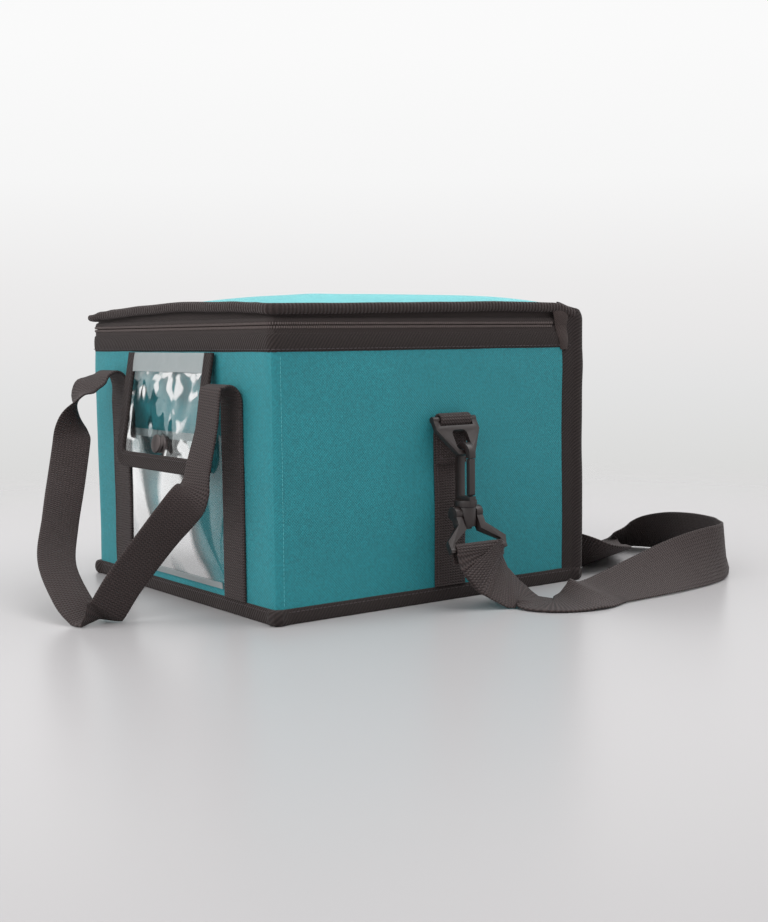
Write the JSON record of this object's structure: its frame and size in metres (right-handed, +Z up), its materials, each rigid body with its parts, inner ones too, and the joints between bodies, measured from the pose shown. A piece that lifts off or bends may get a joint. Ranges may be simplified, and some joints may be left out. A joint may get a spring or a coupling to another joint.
{
  "type": "insulated specimen bag",
  "caption": "Soft insulated specimen bag with zipped lid, clear front pocket, carry handles and a clip-on shoulder strap.",
  "frame": {"origin": "middle of the bag's footprint, on the surface it stands on", "axes": "+Z up; -Y is the front face with the clear pocket; +X is the bag's right side as seen from the front, with the clip that shows in the picture"},
  "size_m": [0.3787, 0.4921, 0.2017],
  "materials": {
    "teal_cloth": "woven nylon, matt",
    "black_webbing": "ribbed webbing, matt",
    "black_binding": "twill binding, matt",
    "black_bottom": "coated cloth, matt",
    "board": "plain",
    "foam": "closed-cell foam",
    "liner": "silver lining sheet",
    "clear_pvc": "clear soft sheet, glossy",
    "zip_coil": "nylon coil",
    "dark_metal": "black finish, satin",
    "clip_plastic": "moulded acetal, satin",
    "black_plastic": "moulded, satin"
  },
  "bodies": {
    "bag": {"outer_wrap": "teal_cloth", "rear_panel": "teal_cloth", "front_webbing_right": "black_webbing", "front_webbing_left": "black_webbing", "rear_webbing_right": "black_webbing", "rear_webbing_left": "black_webbing", "side_webbing_right": "black_webbing", "side_webbing_left": "black_webbing", "shoulder_strap": "black_webbing", "bottom_binding": "black_binding", "body_band": "black_binding", "lower_zip_tape": "black_binding", "rear_binding_right": "black_binding", "rear_binding_left": "black_binding", "zip_tab_right": "black_binding", "zip_tab_left": "black_binding", "hinge_strip": "black_binding", "bottom_panel": "black_bottom", "base_board": "board", "foam_bottom": "foam", "foam_front": "foam", "foam_rear": "foam", "foam_right": "foam", "foam_left": "foam", "liner_tub": "liner", "pocket_sheet": "clear_pvc", "lower_zip_coil": "zip_coil", "pocket_stud": "dark_metal"},
    "lid": {"lid_panel": "teal_cloth", "lid_band": "teal_cloth", "lid_binding": "black_binding", "lid_foam": "foam", "lid_liner": "liner", "upper_zip_tape": "black_binding", "upper_zip_coil": "zip_coil"},
    "front_handle": {"front_handle": "black_webbing"},
    "rear_handle": {"rear_handle": "black_webbing"},
    "pocket_flap": {"flap_binding": "black_binding", "flap_window": "clear_pvc", "flap_stud": "dark_metal"},
    "slider": {"zip_slider": "dark_metal"},
    "pull": {"zip_pull": "dark_metal"},
    "adjuster": {"strap_adjuster": "black_plastic"},
    "clip_right": {"ring_right": "clip_plastic", "barrel_right": "clip_plastic", "yoke_right": "clip_plastic"},
    "hook_right": {"hook_right": "clip_plastic"},
    "gate_right": {"gate_right": "clip_plastic"},
    "clip_left": {"ring_left": "clip_plastic", "barrel_left": "clip_plastic", "yoke_left": "clip_plastic"},
    "hook_left": {"hook_left": "clip_plastic"},
    "gate_left": {"gate_left": "clip_plastic"}
  },
  "joints": [
    {"name": "lid_hinge", "type": "hinge", "parent": "bag", "child": "lid", "pos_m": [0, 0.1244, 0.177], "axis": [-1, 0, 0], "range_deg": [0, 110]},
    {"name": "front_handle_swing", "type": "hinge", "parent": "bag", "child": "front_handle", "pos_m": [0, -0.139, 0.145], "axis": [-1, 0, 0], "range_deg": [0, 120]},
    {"name": "rear_handle_swing", "type": "hinge", "parent": "bag", "child": "rear_handle", "pos_m": [0, 0.139, 0.145], "axis": [-1, 0, 0], "range_deg": [-135, 0]},
    {"name": "pocket_flap_hinge", "type": "hinge", "parent": "bag", "child": "pocket_flap", "pos_m": [0, -0.1254, 0.1606], "axis": [-1, 0, 0], "range_deg": [0, 100]},
    {"name": "zip_slide", "type": "slide", "parent": "bag", "child": "slider", "axis": [0, -1, 0], "range_m": [0, 0.185]},
    {"name": "zip_pull_hinge", "type": "hinge", "parent": "slider", "child": "pull", "pos_m": [-0.1246, 0.084, 0.177], "axis": [0, 0, -1], "range_deg": [0, 170]},
    {"name": "adjuster_slide", "type": "slide", "parent": "bag", "child": "adjuster", "axis": [1, 0, 0], "range_m": [-0.04, 0.04]},
    {"name": "clip_swing_right", "type": "hinge", "parent": "bag", "child": "clip_right", "pos_m": [0.1265, 0.008, 0.117], "axis": [0, -1, 0], "range_deg": [0, 80], "deforming": ["shoulder_strap"]},
    {"name": "hook_swivel_right", "type": "hinge", "parent": "clip_right", "child": "hook_right", "pos_m": [0.1384, 0.008, 0.064], "axis": [0, 0, 1], "range_deg": [-15, 15]},
    {"name": "gate_press_right", "type": "hinge", "parent": "hook_right", "child": "gate_right", "pos_m": [0.1437, 0.008, 0.0712], "axis": [0, -1, 0], "range_deg": [0, 13], "stiffness_Nm_per_rad": 0.02},
    {"name": "clip_swing_left", "type": "hinge", "parent": "bag", "child": "clip_left", "pos_m": [-0.1265, 0.008, 0.117], "axis": [0, 1, 0], "range_deg": [0, 80], "deforming": ["shoulder_strap"]},
    {"name": "hook_swivel_left", "type": "hinge", "parent": "clip_left", "child": "hook_left", "pos_m": [-0.1384, 0.008, 0.064], "axis": [0, 0, -1], "range_deg": [-15, 15]},
    {"name": "gate_press_left", "type": "hinge", "parent": "hook_left", "child": "gate_left", "pos_m": [-0.1437, 0.008, 0.0712], "axis": [0, 1, 0], "range_deg": [0, 13], "stiffness_Nm_per_rad": 0.02}
  ]
}
